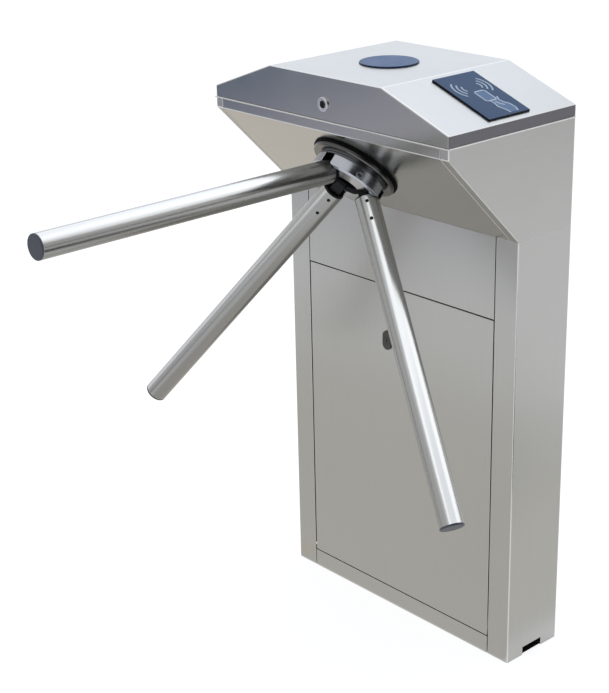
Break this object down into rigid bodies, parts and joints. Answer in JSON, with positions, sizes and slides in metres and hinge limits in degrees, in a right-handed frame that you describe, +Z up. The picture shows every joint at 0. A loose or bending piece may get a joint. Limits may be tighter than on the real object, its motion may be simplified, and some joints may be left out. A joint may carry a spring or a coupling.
{
  "type": "drop arm tripod turnstile",
  "caption": "Stainless pedestal turnstile with a sloping head, a hinged lid with reader and indicator, and a turning tripod whose arms fold down.",
  "frame": {"origin": "floor, under the middle of the pedestal", "axes": "+Z up, X along the cabinet, the tripod on the -Y side"},
  "size_m": [0.7448, 0.8138, 0.9825],
  "materials": {
    "brushed_stainless": "brushed stainless sheet",
    "satin_tube": "satin polished stainless tube",
    "galvanised_plate": "zinc plated",
    "polished_hub": "polished casting",
    "black_knuckle": "black anodised casting",
    "black_rubber": "moulded",
    "black_plastic": "moulded matt",
    "grey_cap": "moulded",
    "machined_aluminium": "machined",
    "ground_steel": "ground",
    "solenoid_case": "painted",
    "lock_chrome": "chromed",
    "lock_black": "black enamel",
    "indicator_blue": "moulded",
    "reader_slate": "printed acrylic",
    "supply_steel": "painted",
    "control_grey": "moulded"
  },
  "bodies": {
    "cabinet": {"base_plate": "galvanised_plate", "cable_gland": "black_plastic", "left_post": "brushed_stainless", "right_post": "brushed_stainless", "upper_panel": "brushed_stainless", "bottom_rail": "brushed_stainless", "back_panel": "brushed_stainless", "door_keeper": "galvanised_plate", "left_cheek": "brushed_stainless", "right_cheek": "brushed_stainless", "head_fascia": "brushed_stainless", "head_back": "brushed_stainless", "lid_rim": "brushed_stainless", "lid_hinge_leaves": "brushed_stainless", "lid_hinge_pins": "ground_steel", "hub_seal": "black_rubber", "mounting_plate": "machined_aluminium", "chassis_plate": "machined_aluminium", "chassis_pillars": "machined_aluminium", "shaft_bearings": "ground_steel", "detent_spring": "ground_steel", "pawl_pivots": "ground_steel", "lock_solenoids": "solenoid_case", "rear_bracket": "galvanised_plate", "rotary_damper": "machined_aluminium", "drop_solenoid": "solenoid_case", "power_supply": "supply_steel", "control_box": "control_grey"},
    "tripod": {"hub_flange": "polished_hub", "hub_drum": "polished_hub", "main_shaft": "ground_steel", "hinge_pins": "ground_steel", "lock_wheel": "machined_aluminium", "index_wheel": "machined_aluminium"},
    "lid": {"lid_shell": "brushed_stainless", "lid_hinge_flaps": "brushed_stainless", "indicator_lens": "indicator_blue", "reader_window": "reader_slate", "lid_lock_body": "lock_chrome"},
    "lid_lock": {"lid_lock_plug": "lock_chrome"},
    "door": {"door_panel": "brushed_stainless", "door_lock_body": "lock_black"},
    "door_lock": {"door_lock_plug": "lock_black"},
    "pawl_a": {"lock_pawl_a": "ground_steel"},
    "pawl_b": {"lock_pawl_b": "ground_steel"},
    "plunger_a": {"lock_plunger_a": "ground_steel"},
    "plunger_b": {"lock_plunger_b": "ground_steel"},
    "drop_rod": {"drop_rod": "ground_steel"},
    "arm_1": {"arm_1_knuckle": "black_knuckle", "arm_1_stop": "black_plastic", "arm_1_tube": "satin_tube", "arm_1_cap": "grey_cap"},
    "arm_2": {"arm_2_knuckle": "black_knuckle", "arm_2_stop": "black_plastic", "arm_2_tube": "satin_tube", "arm_2_cap": "grey_cap"},
    "arm_3": {"arm_3_knuckle": "black_knuckle", "arm_3_stop": "black_plastic", "arm_3_tube": "satin_tube", "arm_3_cap": "grey_cap"}
  },
  "joints": [
    {"name": "tripod_spin", "type": "hinge", "parent": "cabinet", "child": "tripod", "pos_m": [0, -0.15216, 0.82816], "axis": [0, -0.7071, -0.7071], "continuous": true, "deforming": ["detent_spring"]},
    {"name": "arm_1_drop", "type": "hinge", "parent": "tripod", "child": "arm_1", "pos_m": [0, -0.19354, 0.83077], "axis": [1, 0, 0], "range_deg": [0, 90]},
    {"name": "arm_2_drop", "type": "hinge", "parent": "tripod", "child": "arm_2", "pos_m": [-0.02694, -0.16054, 0.79777], "axis": [-0.5, -0.6124, 0.6124], "range_deg": [-1.1, 16]},
    {"name": "arm_3_drop", "type": "hinge", "parent": "tripod", "child": "arm_3", "pos_m": [0.02694, -0.16054, 0.79777], "axis": [-0.5, 0.6124, -0.6124], "range_deg": [-1.1, 16]},
    {"name": "lid_open", "type": "hinge", "parent": "cabinet", "child": "lid", "pos_m": [0, 0.0658, 0.91215], "axis": [-1, 0, 0], "range_deg": [0, 95]},
    {"name": "lid_lock_turn", "type": "hinge", "parent": "lid", "child": "lid_lock", "pos_m": [0, -0.218, 0.937], "axis": [0, 1, 0], "range_deg": [0, 90]},
    {"name": "door_tilt", "type": "hinge", "parent": "cabinet", "child": "door", "pos_m": [0, -0.06, 0.0345], "axis": [1, 0, 0], "range_deg": [0, 11]},
    {"name": "door_lock_turn", "type": "hinge", "parent": "door", "child": "door_lock", "pos_m": [-0.022, -0.062, 0.505], "axis": [0, 1, 0], "range_deg": [0, 90]},
    {"name": "pawl_a_swing", "type": "hinge", "parent": "cabinet", "child": "pawl_a", "pos_m": [0.045, -0.15074, 0.90311], "axis": [0, -0.7071, -0.7071], "range_deg": [0, 8], "stiffness_Nm_per_rad": 0.2, "springref_deg": -11.46},
    {"name": "pawl_b_swing", "type": "hinge", "parent": "cabinet", "child": "pawl_b", "pos_m": [-0.045, -0.0772, 0.82957], "axis": [0, -0.7071, -0.7071], "range_deg": [0, 8], "stiffness_Nm_per_rad": 0.2, "springref_deg": -11.46},
    {"name": "plunger_a_slide", "type": "slide", "parent": "cabinet", "child": "plunger_a", "axis": [0, -0.7071, 0.7071], "range_m": [0, 0.0024]},
    {"name": "plunger_b_slide", "type": "slide", "parent": "cabinet", "child": "plunger_b", "axis": [0, 0.7071, -0.7071], "range_m": [0, 0.0024]},
    {"name": "drop_rod_slide", "type": "slide", "parent": "cabinet", "child": "drop_rod", "axis": [0, 0.7071, 0.7071], "range_m": [-0.0055, 0], "stiffness_N_per_m": 400, "springref_m": 0.004}
  ],
  "couplings": [
    {"joint": "plunger_a_slide", "follows": "pawl_a_swing", "m_per_rad": 0.01504},
    {"joint": "plunger_b_slide", "follows": "pawl_b_swing", "m_per_rad": 0.01504}
  ]
}
